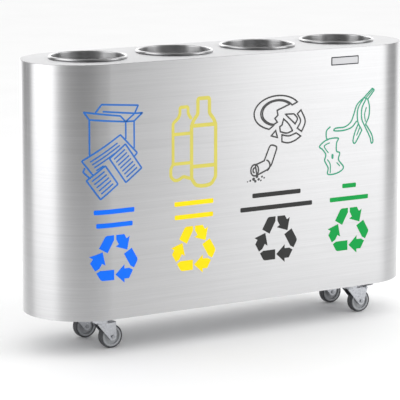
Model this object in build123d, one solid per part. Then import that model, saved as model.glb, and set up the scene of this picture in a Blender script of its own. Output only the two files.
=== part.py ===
from build123d import *
import math
import os

# Recycling station: an obround stainless cabinet on four swivel casters, with four lift-out pails.
# Millimetres. Origin on the floor under the centre of the cabinet, +X along its length, front at -Y, +Z up.

# Overall sizes
LENGTH = 1300.0
DEPTH = 360.0
HEIGHT = 870.0

# Cabinet sheet metal
SHELL_SHEET = 1.2
TOP_SHEET = 1.5
PAN_SHEET = 1.2
TOP_FLANGE = 22.0
PAN_FLANGE = 17.0
TOP_EDGE_ROUND = 1.0
SEAM_GAP = 0.4
STRAP_WIDTH = 40.0
STRAP_SHEET = 1.5
STRAP_END_GAP = 2.0
DIVIDER_WIDTH = 30.0
DIVIDER_SHEET = 3.0
TIE_HEIGHT = 480.0

# Pails: rolled rim, straight wall, rounded bottom corner
STREAMS = ["paper", "bottle", "waste", "food"]
PAIL_PITCH = 298.0
PAIL_BORE = 218.0
PAIL_SHEET = 0.8
PAIL_FLOOR_GAP = 20.0
PAIL_CORNER = 6.0
PAIL_TRAVEL = 760.0
BEAD_DIAMETER = 8.0
BEAD_SLIT_ANGLE = 36.0
HOLE_CLEARANCE = 2.2
REST_GAP = 0.3

# Front graphics and blank plate
VINYL = 0.2
GRAPHIC_X = [-462.0, -192.0, 103.0, 373.0]
PICTURE_HEIGHT = 608.0
CAPTION_HEIGHT = 412.0
SYMBOL_HEIGHT = 291.0
SYMBOL_SIZE = 161.0
CAPTION_BAR = 14.0
CAPTION_STEP = 40.0
CAPTION_WIDTHS = [(131.0, 118.0), (136.0, 134.0), (176.0, 262.0), (52.0, 145.0)]
PLATE_CENTRE = 352.0
PLATE_DROP = 40.0
PLATE_SIZE = (102.0, 26.0, 0.8)

# Casters
CASTER_SPREAD = 455.0
CASTER_TRACK = 78.0
CASTER_TRAIL = 32.0
WHEEL_DIAMETER = 72.0
TYRE_WIDTH = 25.0
TYRE_THICKNESS = 4.5
TYRE_ROUND = 3.0
HUB_WIDTH = 28.4
HUB_RADIUS = 10.0
WEB_WIDTH = 9.0
RIM_DEPTH = 7.0
AXLE_RADIUS = 4.0
RUNNING_GAP = 0.08
SIDE_GAP = 0.3
FORK_SHEET = 2.5
FORK_FRONT = 22.0
FORK_REAR_OVERHANG = 11.0
FORK_EYE = 12.0
FORK_WHEEL_GAP = 6.5
FORK_BEND = 3.0
CUP_RADIUS = 24.0
CUP_HEIGHT = 9.0
RACE_RADIUS = 26.0
RACE_HEIGHT = 16.7
KINGPIN_RADIUS = 5.0
KINGPIN_HEAD = (8.0, 3.3)
MOUNT_PLATE = (66.0, 66.0, 3.0)
MOUNT_CORNER = 8.0
BOLT_OFFSET = 24.0
BOLT_RADIUS = 3.0
BOLT_HEAD = (10.0, 4.2)
BOLT_NUT = (10.0, 5.0)
BOLT_TAIL = 2.0
RAIL_WIDTH = 84.0
RAIL_OVERHANG = 40.0
RAIL_SHEET = 3.0
AXLE_HEX = (10.0, 3.5)

# Brakes, on the right-hand pair of casters
BRAKE_TYRE_GAP = 9.5
BRAKE_PIVOT_DROP = 1.0
BRAKE_EAR = 5.5
BRAKE_PIN_RADIUS = 2.5
BRAKE_PIN_HEAD = (4.0, 1.5)
BRAKE_HUB = 5.0
BRAKE_SHOE_REACH = 9.2
BRAKE_SHOE_RADIUS = 1.6
BRAKE_TRAVEL = 20.0
LEVER_RISE = 6.0
LEVER_LENGTH = 30.0
LEVER_SHEET = 2.5
LEVER_SIDE_GAP = 1.0
PAD_START = 9.0
PAD_WIDTH = 32.0
PAD_THICKNESS = 4.0

# Places worked out from the sizes above
AXLE_Z = WHEEL_DIAMETER / 2
CROWN_BOTTOM = WHEEL_DIAMETER + FORK_WHEEL_GAP
CROWN_TOP = CROWN_BOTTOM + FORK_SHEET
CUP_TOP = CROWN_TOP + CUP_HEIGHT
RACE_BOTTOM = CUP_TOP + SIDE_GAP
MOUNT_BOTTOM = RACE_BOTTOM + RACE_HEIGHT
CASTER_HEIGHT = MOUNT_BOTTOM + MOUNT_PLATE[2]
FORK_INNER = HUB_WIDTH / 2 + SIDE_GAP
FORK_OUTER = FORK_INNER + FORK_SHEET
FORK_REAR = CASTER_TRAIL + FORK_REAR_OVERHANG
BRAKE_PIVOT_UP = CROWN_BOTTOM - BRAKE_PIVOT_DROP - AXLE_Z
BRAKE_PIVOT_REACH = WHEEL_DIAMETER / 2 + BRAKE_TYRE_GAP
BRAKE_PIVOT_OUT = math.sqrt(BRAKE_PIVOT_REACH ** 2 - BRAKE_PIVOT_UP ** 2)
PLATE_TOP = HEIGHT - BEAD_DIAMETER - REST_GAP
SHELL_TOP = PLATE_TOP - TOP_SHEET
SHELL_BOTTOM = CASTER_HEIGHT
PAN_TOP = SHELL_BOTTOM + PAN_SHEET
FLANGE_BOTTOM = SHELL_TOP - TOP_FLANGE
PAN_FLANGE_TOP = SHELL_BOTTOM + PAN_FLANGE
BEAD_RADIUS = BEAD_DIAMETER / 2
BEAD_CENTRE_Z = PLATE_TOP + REST_GAP + BEAD_RADIUS
BEAD_CENTRE_R = PAIL_BORE / 2 + BEAD_RADIUS
PAIL_OUTER = PAIL_BORE / 2 + PAIL_SHEET
PAIL_HOLE = PAIL_OUTER + HOLE_CLEARANCE
PAIL_BOTTOM = SHELL_BOTTOM + PAIL_FLOOR_GAP
PAIL_X = [(i - (len(STREAMS) - 1) / 2) * PAIL_PITCH for i in range(len(STREAMS))]
FRONT = -DEPTH / 2
RAIL_TOP = PAN_TOP + RAIL_SHEET
CASTERS = [(-1, -1, False), (1, -1, True), (-1, 1, False), (1, 1, True)]
BOLT_HOLES = [(sx * BOLT_OFFSET, sy * BOLT_OFFSET) for sx in (-1, 1) for sy in (-1, 1)]


def at_height(sketch, z):
    return Pos(0, 0, z) * sketch


def obround(inset):
    """The cabinet's plan outline, moved inwards by the inset."""
    return SlotOverall(LENGTH - 2 * inset, DEPTH - 2 * inset)


def obround_ring(inset, thickness, bottom, top):
    ring = obround(inset) - obround(inset + thickness)
    return extrude(at_height(ring, bottom), top - bottom)


def half_space(side, gap):
    """A block over everything on one side (-1 front, 1 rear) of the middle, less half the gap."""
    block = Box(2 * LENGTH, 2 * DEPTH, 4 * HEIGHT)
    return Pos(0, side * (DEPTH + gap / 2), 0) * block


def shell_half(side):
    ring = obround_ring(0, SHELL_SHEET, SHELL_BOTTOM, SHELL_TOP)
    return ring & half_space(side, SEAM_GAP)


def seam_strap(side):
    """Curved strip inside one end of the cabinet, behind the joint of the two shell halves."""
    bottom = PAN_FLANGE_TOP + STRAP_END_GAP
    top = FLANGE_BOTTOM - STRAP_END_GAP
    ring = obround_ring(SHELL_SHEET, STRAP_SHEET, bottom, top)
    window = Pos(side * LENGTH / 2, 0, HEIGHT / 2) * Box(DEPTH, STRAP_WIDTH, 2 * HEIGHT)
    return ring & window


def top_plate():
    sheet = obround(0)
    for x in PAIL_X:
        sheet -= Pos(x, 0) * Circle(PAIL_HOLE)
    plate = extrude(at_height(sheet, SHELL_TOP), TOP_SHEET)
    rim_edges = plate.edges().filter_by(lambda e: abs(e.center().Z - PLATE_TOP) < 0.01 and e.length > 400)
    outside = [e for e in rim_edges if e.bounding_box().size.Y < 1 or e.bounding_box().size.Y > DEPTH - 1]
    outside = [e for e in outside if e.geom_type == GeomType.LINE or e.radius > DEPTH / 2 - 1]
    plate = fillet(outside, TOP_EDGE_ROUND)
    return plate + obround_ring(SHELL_SHEET, TOP_SHEET, FLANGE_BOTTOM, SHELL_TOP)


def base_pan():
    pan = extrude(at_height(obround(SHELL_SHEET), SHELL_BOTTOM), PAN_SHEET)
    pan += obround_ring(SHELL_SHEET, PAN_SHEET, SHELL_BOTTOM, PAN_FLANGE_TOP)
    for sx, sy, _ in CASTERS:
        for x, y in BOLT_HOLES:
            hole = Pos(sx * CASTER_SPREAD + x, sy * CASTER_TRACK + y, PAN_TOP) * Cylinder(BOLT_RADIUS, 10)
            pan -= hole
    return pan


def divider_frame(x):
    """Flat-bar portal between two pails: an upright on each long wall and a tie across."""
    bottom = PAN_FLANGE_TOP + STRAP_END_GAP
    top = FLANGE_BOTTOM - STRAP_END_GAP
    wall = DEPTH / 2 - SHELL_SHEET
    upright = Pos(0, 0, (bottom + top) / 2) * Box(DIVIDER_WIDTH, DIVIDER_SHEET, top - bottom)
    frame = Pos(x, 0, TIE_HEIGHT) * Box(DIVIDER_WIDTH, 2 * (wall - DIVIDER_SHEET / 2), DIVIDER_SHEET)
    for side in (-1, 1):
        frame += Pos(x, side * (wall - DIVIDER_SHEET / 2), 0) * upright
    return frame


def caster_rail(sx):
    """Stiffening plate on the pan, over the two casters at one end."""
    length = 2 * (CASTER_TRACK + RAIL_OVERHANG)
    rail = Pos(sx * CASTER_SPREAD, 0, PAN_TOP + RAIL_SHEET / 2) * Box(RAIL_WIDTH, length, RAIL_SHEET)
    for sy in (-1, 1):
        for x, y in BOLT_HOLES:
            rail -= Pos(sx * CASTER_SPREAD + x, sy * CASTER_TRACK + y, PAN_TOP) * Cylinder(BOLT_RADIUS, 20)
    return rail


def pail_profile():
    """Half section in the XZ plane: floor, rounded corner, wall, and the bead rolled outwards."""
    outer = Polyline((0, PAIL_BOTTOM), (PAIL_OUTER, PAIL_BOTTOM), (PAIL_OUTER, BEAD_CENTRE_Z),
                     (0, BEAD_CENTRE_Z), (0, PAIL_BOTTOM))
    outer_face = make_face(outer)
    corner = outer_face.vertices().sort_by(Axis.X)[-2:].sort_by(Axis.Y)[0]
    outer_face = fillet(corner, PAIL_CORNER + PAIL_SHEET)
    inner = Polyline((0, PAIL_BOTTOM + PAIL_SHEET), (PAIL_BORE / 2, PAIL_BOTTOM + PAIL_SHEET),
                     (PAIL_BORE / 2, BEAD_CENTRE_Z), (0, BEAD_CENTRE_Z), (0, PAIL_BOTTOM + PAIL_SHEET))
    inner_face = make_face(inner)
    corner = inner_face.vertices().sort_by(Axis.X)[-2:].sort_by(Axis.Y)[0]
    inner_face = fillet(corner, PAIL_CORNER)
    slit = math.radians(BEAD_SLIT_ANGLE)
    reach = 2 * BEAD_DIAMETER
    wedge = Polyline((0, 0), (-reach, 0), (-reach, -reach * math.tan(slit)), (0, 0))
    curl = Circle(BEAD_RADIUS) - Circle(BEAD_RADIUS - PAIL_SHEET) - make_face(wedge)
    return (outer_face - inner_face) + Pos(BEAD_CENTRE_R, BEAD_CENTRE_Z) * curl


def pail(x):
    body = revolve(Plane.XZ * pail_profile(), Axis.Z)
    return Pos(x, 0, 0) * body


def rim_wire(x):
    """Steel wire inside the rolled bead."""
    return Pos(x, 0, BEAD_CENTRE_Z) * Torus(BEAD_CENTRE_R, BEAD_RADIUS - PAIL_SHEET - REST_GAP / 2)


def vinyl(sketch, x, z):
    """Lay a flat drawing on the front of the shell as a thin film that follows its round ends."""
    prism = extrude(Plane((x, 2 * FRONT, z), x_dir=(1, 0, 0), z_dir=(0, -1, 0)) * sketch, -2 * abs(FRONT) + 1)
    skin = extrude(at_height(obround(-VINYL) - obround(0), SHELL_BOTTOM), SHELL_TOP - SHELL_BOTTOM)
    return prism & skin


def recycling_symbol(size):
    """Three arrows chasing clockwise, each folded at a corner: a tail piece and a head piece."""
    middle = 0.29
    band = 0.19
    cut = 0.44
    fold_gap = 0.022
    tail_start = -0.025
    head_start = -0.19
    head_length = 0.19
    barb = 0.075
    bend_round = 0.07
    inner = middle - band / 2
    outer = middle + band / 2
    cos60 = 0.5
    sin60 = math.sin(math.radians(60))

    def on_side(offset, along):
        return (offset * cos60 - along * sin60, offset * sin60 + along * cos60)

    corner = [((inner - sin60 * fold_gap) / cos60, fold_gap), (cut, fold_gap),
              (cut, (outer - cos60 * cut) / sin60)]
    tail = corner + [on_side(outer, tail_start), on_side(inner, tail_start)]
    head = corner + [on_side(outer, head_start), on_side(outer + barb, head_start),
                     on_side(middle, head_start + head_length), on_side(inner - barb, head_start),
                     on_side(inner, head_start)]
    symbol = Sketch()
    for turn in (90, 210, 330):
        for outline, flip in ((tail, 1), (head, -1)):
            points = [(size * u, flip * size * v) for u, v in outline]
            piece = make_face(Polyline(*points, close=True))
            if outline is tail:
                bend = (points[2][0], points[2][1], 0)
                piece = fillet(piece.vertices().sort_by_distance(bend)[:1], bend_round * size)
            symbol += Rot(0, 0, turn) * piece
    return symbol


def caption(widths):
    """Two rounded bars that stand in for two lines of lettering."""
    bars = Sketch()
    for row, width in enumerate(widths):
        bars += Pos(0, CAPTION_STEP * (0.5 - row)) * RectangleRounded(width, CAPTION_BAR, CAPTION_BAR / 4)
    return bars


def bottle_outline(width, height):
    half = width / 2
    shoulder = 0.55 * height
    neck = 0.17 * width
    points = [(-half, 0), (half, 0), (half, shoulder), (neck, 0.8 * height), (neck, height),
              (-neck, height), (-neck, 0.8 * height), (-half, shoulder)]
    return make_face(Polyline(*points, close=True))


def picture(stream):
    """Plain cut-out of what the stream takes, about 285 high."""
    if stream == "paper":
        carton = make_face(Polyline((-80, -20), (80, -20), (62, 130), (-62, 130), close=True))
        return carton + Pos(0, -85) * RectangleRounded(150, 90, 6)
    if stream == "bottle":
        large = Pos(36, -140) * bottle_outline(84, 280)
        small = Pos(-50, -140) * bottle_outline(62, 215)
        return large + small
    if stream == "waste":
        dish = Pos(22, 55) * (Circle(78) - Circle(44))
        return dish + Pos(-38, -85) * Rot(0, 0, 40) * RectangleRounded(112, 24, 6)
    banana = Pos(22, 45) * (Circle(84) - Pos(-34, -28) * Circle(80))
    core = Pos(-46, -78) * (RectangleRounded(64, 118, 12) - Pos(-52, 0) * Circle(34) - Pos(52, 0) * Circle(34))
    return banana + core


def graphics(index):
    stream = STREAMS[index]
    x = GRAPHIC_X[index]
    words = vinyl(caption(CAPTION_WIDTHS[index]), x, CAPTION_HEIGHT)
    loop = vinyl(recycling_symbol(SYMBOL_SIZE), x, SYMBOL_HEIGHT)
    return {
        "picture_" + stream: vinyl(picture(stream), x, PICTURE_HEIGHT),
        "label_" + stream: Compound(children=list(words.solids()) + list(loop.solids())),
    }


def nameplate():
    width, height, thickness = PLATE_SIZE
    plate = Box(width, thickness, height)
    plate = fillet(plate.edges().filter_by(Axis.Y), 2)
    return Pos(PLATE_CENTRE, FRONT - thickness / 2, PLATE_TOP - PLATE_DROP) * plate


def hexagon(across, height, bottom):
    return extrude(at_height(RegularPolygon(across / 2, 6, major_radius=False), bottom), height)


def mount_plate():
    """Caster top plate with its pressed upper race; axis at the origin."""
    plate = extrude(at_height(RectangleRounded(MOUNT_PLATE[0], MOUNT_PLATE[1], MOUNT_CORNER), MOUNT_BOTTOM),
                    MOUNT_PLATE[2])
    plate += Pos(0, 0, RACE_BOTTOM + RACE_HEIGHT / 2) * Cone(CUP_RADIUS - 2, RACE_RADIUS, RACE_HEIGHT)
    plate -= Pos(0, 0, MOUNT_BOTTOM) * Cylinder(KINGPIN_RADIUS, 4 * RACE_HEIGHT)
    for x, y in BOLT_HOLES:
        plate -= Pos(x, y, MOUNT_BOTTOM) * Cylinder(BOLT_RADIUS, 10)
    return plate


def kingpin():
    radius, height = KINGPIN_HEAD
    head_top = CROWN_BOTTOM - SIDE_GAP
    top = CASTER_HEIGHT - SIDE_GAP
    pin = Pos(0, 0, (head_top + top) / 2) * Cylinder(KINGPIN_RADIUS, top - head_top)
    return pin + Pos(0, 0, head_top - height / 2) * Cylinder(radius, height)


def fork(braked):
    """Swivel yoke: crown, two legs tapering to the axle eye, and the lower race on top."""
    edges = list((Pos(CASTER_TRAIL, AXLE_Z) * Circle(FORK_EYE)).edges())
    edges += [Edge.make_line((-FORK_FRONT, CROWN_TOP), (FORK_REAR, CROWN_TOP))]
    if braked:
        pivot = (CASTER_TRAIL + BRAKE_PIVOT_OUT, AXLE_Z + BRAKE_PIVOT_UP)
        edges += list((Pos(*pivot) * Circle(BRAKE_EAR)).edges())
    side = Plane.XZ * make_hull(edges)
    block = extrude(side, FORK_OUTER, both=True)
    keep = Pos(0, 0, CROWN_TOP / 2) * Box(4 * LENGTH, 2 * FORK_OUTER, CROWN_TOP)
    keep = fillet(keep.edges().filter_by(Axis.X).sort_by(Axis.Z)[-2:], FORK_BEND)
    block = block & keep
    block -= Pos(CASTER_TRAIL, 0, 0) * Box(4 * WHEEL_DIAMETER, 2 * FORK_INNER, 2 * CROWN_BOTTOM)
    if braked:
        reach = Pos(FORK_REAR + WHEEL_DIAMETER / 2, 0, CROWN_BOTTOM) * Box(WHEEL_DIAMETER, 2 * FORK_INNER, 40)
        block -= reach
        block -= Pos(pivot[0], 0, pivot[1]) * Rot(90, 0, 0) * Cylinder(BRAKE_PIN_RADIUS, 3 * FORK_OUTER)
    block += Pos(0, 0, CROWN_TOP + CUP_HEIGHT / 2) * Cylinder(CUP_RADIUS, CUP_HEIGHT)
    block -= Pos(0, 0, CROWN_TOP) * Cylinder(KINGPIN_RADIUS + RUNNING_GAP, 4 * CUP_HEIGHT)
    block -= Pos(CASTER_TRAIL, 0, AXLE_Z) * Rot(90, 0, 0) * Cylinder(AXLE_RADIUS, 3 * FORK_OUTER)
    return block


def axle():
    across, height = AXLE_HEX
    shaft = Cylinder(AXLE_RADIUS, 2 * FORK_OUTER)
    bolt = shaft + hexagon(across, height, FORK_OUTER) + hexagon(across, height, -FORK_OUTER - height)
    return Pos(CASTER_TRAIL, 0, AXLE_Z) * Rot(90, 0, 0) * bolt


def wheel_core():
    rim_outer = WHEEL_DIAMETER / 2 - TYRE_THICKNESS
    rim_inner = rim_outer - RIM_DEPTH
    rim_half = TYRE_WIDTH / 2 - 1
    core = Cylinder(rim_outer, 2 * rim_half)
    for side in (-1, 1):
        pocket = Cylinder(rim_inner, rim_half) - Cylinder(HUB_RADIUS, rim_half)
        core -= Pos(0, 0, side * (WEB_WIDTH / 2 + rim_half / 2)) * pocket
    core += Cylinder(HUB_RADIUS, HUB_WIDTH)
    core -= Cylinder(AXLE_RADIUS + RUNNING_GAP, 2 * HUB_WIDTH)
    return Pos(CASTER_TRAIL, 0, AXLE_Z) * Rot(90, 0, 0) * core


def tyre():
    ring = Cylinder(WHEEL_DIAMETER / 2, TYRE_WIDTH)
    ring = fillet(ring.edges(), TYRE_ROUND)
    ring -= Cylinder(WHEEL_DIAMETER / 2 - TYRE_THICKNESS, 2 * TYRE_WIDTH)
    return Pos(CASTER_TRAIL, 0, AXLE_Z) * Rot(90, 0, 0) * ring


def shoe_angle():
    """Angle of the shoe outward from straight down, at rest, so that full travel just clears the tyre."""
    touch = WHEEL_DIAMETER / 2 + BRAKE_SHOE_RADIUS + SIDE_GAP
    squares = BRAKE_SHOE_REACH ** 2 + BRAKE_PIVOT_REACH ** 2 - touch ** 2
    cosine = squares / (2 * BRAKE_SHOE_REACH * BRAKE_PIVOT_REACH)
    to_wheel = math.degrees(math.atan2(BRAKE_PIVOT_OUT, BRAKE_PIVOT_UP))
    return math.degrees(math.acos(cosine)) - to_wheel + BRAKE_TRAVEL


def brake_lever():
    """Pedal lever about its pivot: a tube, a shoe below it and a flat arm rising outwards."""
    width = 2 * (FORK_INNER - LEVER_SIDE_GAP)
    down = math.radians(shoe_angle())
    shoe_centre = (BRAKE_SHOE_REACH * math.sin(down), -BRAKE_SHOE_REACH * math.cos(down))
    edges = list((Pos(*shoe_centre) * Circle(BRAKE_SHOE_RADIUS)).edges())
    edges += list(Circle(BRAKE_SHOE_RADIUS).edges())
    section = make_hull(edges) + Circle(BRAKE_HUB)
    arm = Pos(LEVER_LENGTH / 2, BRAKE_HUB - LEVER_SHEET / 2) * Rectangle(LEVER_LENGTH, LEVER_SHEET)
    section += Rot(0, 0, LEVER_RISE) * arm
    section -= Circle(BRAKE_PIN_RADIUS + RUNNING_GAP)
    return at_brake_pivot(extrude(Plane.XZ * section, width / 2, both=True))


def pedal_pad():
    length = LEVER_LENGTH - PAD_START
    block = Pos(PAD_START + length / 2, 0, BRAKE_HUB + PAD_THICKNESS / 2) * Box(length, PAD_WIDTH, PAD_THICKNESS)
    block = fillet(block.edges().filter_by(Axis.Z), 4)
    return at_brake_pivot(Rot(0, -LEVER_RISE, 0) * block)


def brake_pin():
    radius, height = BRAKE_PIN_HEAD
    pin = Cylinder(BRAKE_PIN_RADIUS, 2 * FORK_OUTER)
    for side in (-1, 1):
        pin += Pos(0, 0, side * (FORK_OUTER + height / 2)) * Cylinder(radius, height)
    return at_brake_pivot(Rot(90, 0, 0) * pin)


def at_brake_pivot(solid):
    return Pos(CASTER_TRAIL + BRAKE_PIVOT_OUT, 0, AXLE_Z + BRAKE_PIVOT_UP) * solid


def mount_bolt():
    across, height = BOLT_HEAD
    top = RAIL_TOP + BOLT_NUT[1] + BOLT_TAIL
    shaft = Pos(0, 0, (MOUNT_BOTTOM + top) / 2) * Cylinder(BOLT_RADIUS, top - MOUNT_BOTTOM)
    return shaft + hexagon(across, height, MOUNT_BOTTOM - height)


def mount_nut():
    across, height = BOLT_NUT
    return hexagon(across, height, RAIL_TOP) - Pos(0, 0, RAIL_TOP) * Cylinder(BOLT_RADIUS, 3 * height)


def caster_nodes():
    nodes = {}
    pins = []
    bolts = []
    nuts = []
    for number, (sx, sy, braked) in enumerate(CASTERS, 1):
        place = Pos(sx * CASTER_SPREAD, sy * CASTER_TRACK, 0)
        tag = "_%d" % number
        nodes["mount_plate" + tag] = place * mount_plate()
        nodes["fork" + tag] = place * fork(braked)
        nodes["axle" + tag] = place * axle()
        nodes["wheel_core" + tag] = place * wheel_core()
        nodes["tyre" + tag] = place * tyre()
        if braked:
            nodes["brake_lever" + tag] = place * brake_lever()
            nodes["pedal_pad" + tag] = place * pedal_pad()
            nodes["brake_pin" + tag] = place * brake_pin()
        pins.append(place * kingpin())
        for x, y in BOLT_HOLES:
            bolts.append(place * Pos(x, y, 0) * mount_bolt())
            nuts.append(place * Pos(x, y, 0) * mount_nut())
    nodes["kingpins"] = Compound(children=pins)
    nodes["caster_bolts"] = Compound(children=bolts)
    nodes["caster_nuts"] = Compound(children=nuts)
    return nodes


def cabinet_nodes():
    nodes = {
        "front_shell": shell_half(-1),
        "rear_shell": shell_half(1),
        "seam_strap_left": seam_strap(-1),
        "seam_strap_right": seam_strap(1),
        "top_plate": top_plate(),
        "base_pan": base_pan(),
        "nameplate": nameplate(),
        "caster_rail_left": caster_rail(-1),
        "caster_rail_right": caster_rail(1),
    }
    for number, (left, right) in enumerate(zip(PAIL_X, PAIL_X[1:]), 1):
        nodes["divider_frame_%d" % number] = divider_frame((left + right) / 2)
    for index, x in enumerate(PAIL_X):
        nodes.update(graphics(index))
        nodes["pail_%d" % (index + 1)] = pail(x)
        nodes["rim_wire_%d" % (index + 1)] = rim_wire(x)
    return nodes


def main():
    os.makedirs("parts", exist_ok=True)
    nodes = cabinet_nodes()
    nodes.update(caster_nodes())
    for name, solid in nodes.items():
        export_step(solid, "parts/%s.step" % name)


main()
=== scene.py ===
import math
import bmesh
import bpy
from bpy.props import FloatProperty, FloatVectorProperty, PointerProperty
from mathutils import Matrix, Vector


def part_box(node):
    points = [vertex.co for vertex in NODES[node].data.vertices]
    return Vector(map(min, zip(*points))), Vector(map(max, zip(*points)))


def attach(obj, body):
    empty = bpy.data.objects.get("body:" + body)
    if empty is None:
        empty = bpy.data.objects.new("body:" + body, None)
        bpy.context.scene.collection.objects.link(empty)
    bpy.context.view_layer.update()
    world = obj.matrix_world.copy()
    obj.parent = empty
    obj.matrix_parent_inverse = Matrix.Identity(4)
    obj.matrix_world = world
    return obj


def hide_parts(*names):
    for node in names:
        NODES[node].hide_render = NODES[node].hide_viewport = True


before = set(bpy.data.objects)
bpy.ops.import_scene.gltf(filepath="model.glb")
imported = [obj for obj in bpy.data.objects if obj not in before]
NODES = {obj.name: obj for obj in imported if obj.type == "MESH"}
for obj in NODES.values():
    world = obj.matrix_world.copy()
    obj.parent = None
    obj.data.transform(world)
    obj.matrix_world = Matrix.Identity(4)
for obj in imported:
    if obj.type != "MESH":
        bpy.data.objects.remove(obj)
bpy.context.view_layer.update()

bl_info = {
    "name": "Recycling Station",
    "version": (1, 0, 0),
    "blender": (4, 5, 0),
    "location": "View3D > Sidebar > Station",
    "description": "Finishes and printed graphics for a brushed stainless recycling station",
    "category": "Object",
}

MM = 0.001
STREAMS = ("paper", "bottle", "waste", "food")
PAILS = (1, 2, 3, 4)
CASTERS = (1, 2, 3, 4)
BRAKED = (2, 4)
NOISE_SPAN = {"From Min": 0.3, "From Max": 0.7}


# ---- colour and nodes

def linear(colour):
    """sRGB hex to linear RGBA."""
    channels = [int(colour[i:i + 2], 16) / 255 for i in (1, 3, 5)]
    return tuple(c / 12.92 if c <= 0.04045 else ((c + 0.055) / 1.055) ** 2.4 for c in channels) + (1.0,)


def add(tree, kind, values=None, links=None, **settings):
    """Add a node with its settings, its socket values and the sockets that feed it."""
    node = tree.nodes.new(kind)
    for key, value in settings.items():
        setattr(node, key, value)
    for key, value in (values or {}).items():
        node.inputs[key].default_value = value
    for key, source in (links or {}).items():
        tree.links.new(source, node.inputs[key])
    return node


def start_material(name, **shader):
    """A material with one Principled shader; returns it with its tree, shader and Object coordinates."""
    material = bpy.data.materials.new(name)
    material.use_nodes = True
    tree = material.node_tree
    surface = tree.nodes["Principled BSDF"]
    for key, value in shader.items():
        surface.inputs[key.replace("_", " ")].default_value = value
    where = add(tree, "ShaderNodeTexCoord").outputs["Object"]
    return material, tree, surface, where


def grain(tree, where, spacing, detail=2.0):
    """Noise with features spaced by the given millimetres along X, Y and Z, mostly from 0.3 to 0.7."""
    per_metre = [1 / (step * MM) for step in spacing]
    scaled = add(tree, "ShaderNodeVectorMath", {1: per_metre}, {0: where}, operation="MULTIPLY")
    noise = add(tree, "ShaderNodeTexNoise", {"Scale": 1.0, "Detail": detail}, {"Vector": scaled.outputs[0]})
    return noise.outputs["Fac"]


def skin(tree, surface, shade, dark, light, rub, smoothest, roughest, height, strength, depth_mm=0.05):
    """Colour by one pattern, roughness by a second and relief by a third; returns the roughness."""
    tone = add(tree, "ShaderNodeMapRange", NOISE_SPAN, {"Value": shade})
    tint = add(tree, "ShaderNodeMix", {6: dark, 7: light}, {0: tone.outputs[0]}, data_type="RGBA")
    span = {**NOISE_SPAN, "To Min": smoothest, "To Max": roughest}
    rough = add(tree, "ShaderNodeMapRange", span, {"Value": rub})
    bump = add(tree, "ShaderNodeBump", {"Strength": strength, "Distance": depth_mm * MM}, {"Height": height})
    tree.links.new(tint.outputs[2], surface.inputs["Base Color"])
    tree.links.new(rough.outputs[0], surface.inputs["Roughness"])
    tree.links.new(bump.outputs["Normal"], surface.inputs["Normal"])
    return rough.outputs[0]


# ---- finishes

def worn(colour, share):
    """The same linear colour, dimmed to a share of itself."""
    return tuple(c * share for c in colour[:3]) + (1.0,)


def brushed_sheet(name, steel, spacing_fine, spacing_broad, smoothest, roughest, axis):
    """Grit-brushed sheet: fine scratches and long broad streaks round one axis, rougher in the scratches."""
    material, tree, surface, where = start_material(name, Metallic=1.0, Anisotropic=0.9,
                                                    Anisotropic_Rotation=0.25)
    fine = grain(tree, where, spacing_fine)
    broad = grain(tree, where, spacing_broad)
    smudge = grain(tree, where, (240, 240, 240), detail=3.0)
    mixed = add(tree, "ShaderNodeMix", {0: 0.45}, {2: fine, 3: broad}).outputs[0]
    streaks = skin(tree, surface, mixed, worn(steel, 0.86), steel, mixed, smoothest, roughest, fine, 0.12)
    wiped = add(tree, "ShaderNodeMath", {1: 0.05}, {0: smudge, 2: streaks}, operation="MULTIPLY_ADD")
    tree.links.new(wiped.outputs[0], surface.inputs["Roughness"])
    tangent = add(tree, "ShaderNodeTangent", direction_type="RADIAL", axis=axis)
    tree.links.new(tangent.outputs[0], surface.inputs["Tangent"])
    return material


def wall_stainless(steel):
    """304 sheet, belt-brushed round the cabinet: soft horizontal lines, reflections drawn out upright.
    The real lines are 0.1 mm apart; they are drawn 1.4 mm apart so that they show."""
    return brushed_sheet("304 stainless, belt-brushed wall", steel, (160, 160, 1.4), (900, 900, 9),
                         0.33, 0.41, "Z")


def top_stainless(steel):
    """The same sheet brushed along the station: fine lines from end to end of the flat top."""
    return brushed_sheet("304 stainless, belt-brushed top", steel, (160, 1.6, 160), (900, 8, 900),
                         0.30, 0.38, "Y")


def pail_stainless(steel):
    """Spun 304 sheet: rings of fine lines round the wall and the bead, glossier than the brushed sheet."""
    return brushed_sheet("304 stainless, spun pail", steel, (120, 120, 1.6), (700, 700, 11), 0.24, 0.34, "Z")


def galvanised(name, pale, dark, rough):
    """Zinc plate on pressed steel: bright, faintly mottled grey with a slight blue cast."""
    material, tree, surface, where = start_material(name, Metallic=1.0)
    mottle = grain(tree, where, (6, 6, 6), detail=4.0)
    pits = grain(tree, where, (0.9, 0.9, 0.9))
    skin(tree, surface, mottle, linear(dark), linear(pale), mottle, rough, rough + 0.12, pits, 0.1)
    return material


def plastic(name, pale, dark, rough, texture_mm, depth_mm, ior):
    """Moulded part with a fine spark-eroded texture, a little uneven in tone."""
    material, tree, surface, where = start_material(name, IOR=ior)
    cloud = grain(tree, where, (14, 14, 14), detail=3.0)
    pits = grain(tree, where, (texture_mm,) * 3)
    skin(tree, surface, cloud, linear(dark), linear(pale), pits, rough - 0.05, rough + 0.07,
         pits, 0.25, depth_mm)
    return material


def vinyl(name, ink):
    """Cast PVC film on brushed metal: even colour, satin, with a trace of the brushed lines below."""
    material, tree, surface, where = start_material(name, IOR=1.52, Specular_IOR_Level=0.15)
    fade = grain(tree, where, (60, 60, 60))
    lines = grain(tree, where, (160, 160, 1.4))
    skin(tree, surface, fade, worn(ink, 0.92), ink, lines, 0.32, 0.42, lines, 0.06)
    return material


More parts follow.
